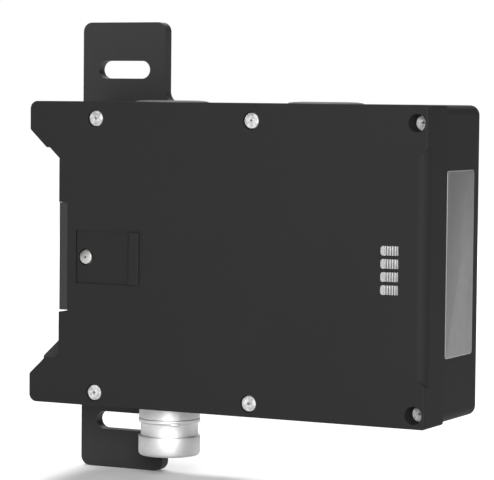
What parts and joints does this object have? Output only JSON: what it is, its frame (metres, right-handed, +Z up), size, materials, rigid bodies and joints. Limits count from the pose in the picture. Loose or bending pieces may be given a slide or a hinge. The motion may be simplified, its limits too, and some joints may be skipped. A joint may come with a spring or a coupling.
{
  "type": "guard locking module",
  "caption": "Guard locking module: dark polymer case on a steel plate with slotted tabs, funnel ears around a bolt mouth, sprung locking lever, status windows and a round bottom connector",
  "frame": {"origin": "on the mounting plate's back face, in the plane of the mouth, midway between the two fixing slots' heights", "axes": "+Z up, -Y out of the front cover, the bolt tongue enters along +X from the left"},
  "size_m": [0.1826, 0.06, 0.19],
  "materials": {
    "plate_black": "satin black powder coat",
    "zinc_steel": "bright zinc",
    "case_base": "fine moulded texture",
    "case_cover": "fine moulded texture",
    "seal_rubber": "matte",
    "label_grey": "satin film",
    "liner_grey": "moulded, satin",
    "spring_steel": "ground",
    "inner_black": "moulded, satin",
    "coil_winding": "enamelled copper winding",
    "lens_grey": "translucent, ribbed",
    "board_green": "solder mask",
    "led_white": "clear",
    "terminal_green": "moulded",
    "relay_white": "moulded",
    "can_aluminium": "drawn",
    "chip_black": "moulded",
    "plug_grey": "moulded, satin",
    "shell_nickel": "nickel, satin",
    "contact_gold": "gold flash",
    "lever_steel": "hardened, ground"
  },
  "bodies": {
    "housing": {"mounting_plate": "plate_black", "plate_screws": "zinc_steel", "housing_base": "case_base", "cover_gasket": "seal_rubber", "housing_cover": "case_cover", "cover_screws": "zinc_steel", "type_label": "label_grey", "mouth_frame": "liner_grey", "frame_screws": "zinc_steel", "bolt_guide": "liner_grey", "guide_screws": "zinc_steel", "follower_spring": "spring_steel", "read_head": "inner_black", "lever_pin": "spring_steel", "lever_clip": "spring_steel", "solenoid_yoke": "zinc_steel", "solenoid_coil": "coil_winding", "plunger_spring": "spring_steel", "yoke_screws": "zinc_steel", "release_seal": "seal_rubber", "light_pipes": "lens_grey", "display_board": "board_green", "display_screws": "zinc_steel", "status_leds": "led_white", "main_board": "board_green", "board_screws": "zinc_steel", "terminal_block": "terminal_green", "safety_relays": "relay_white", "capacitors": "can_aluminium", "processor_chips": "chip_black", "blanking_plugs": "plug_grey", "plug_seals": "seal_rubber", "connector_shell": "shell_nickel", "connector_seal": "seal_rubber", "connector_nut": "shell_nickel", "connector_insert": "inner_black", "connector_contacts": "contact_gold"},
    "lever": {"lock_lever": "lever_steel"},
    "plunger": {"solenoid_plunger": "lever_steel", "link_pin": "spring_steel"},
    "follower": {"bolt_follower": "inner_black"},
    "release": {"release_spindle": "zinc_steel", "release_finger": "lever_steel"}
  },
  "joints": [
    {"name": "lever_hinge", "type": "hinge", "parent": "housing", "child": "lever", "pos_m": [0.056, -0.0332, 0.0241], "axis": [0, -1, 0], "range_deg": [0, 15]},
    {"name": "plunger_slide", "type": "slide", "parent": "housing", "child": "plunger", "axis": [-1, 0, 0], "range_m": [0, 0.00336], "deforming": ["plunger_spring"]},
    {"name": "follower_slide", "type": "slide", "parent": "housing", "child": "follower", "axis": [1, 0, 0], "range_m": [0, 0.008], "stiffness_N_per_m": 250, "springref_m": -0.004, "deforming": ["follower_spring"]},
    {"name": "release_turn", "type": "hinge", "parent": "housing", "child": "release", "pos_m": [0.0123, -0.055, -0.0013], "axis": [0, -1, 0], "range_deg": [0, 90]}
  ],
  "couplings": [
    {"joint": "lever_hinge", "follows": "plunger_slide", "rad_per_m": 77.8}
  ]
}
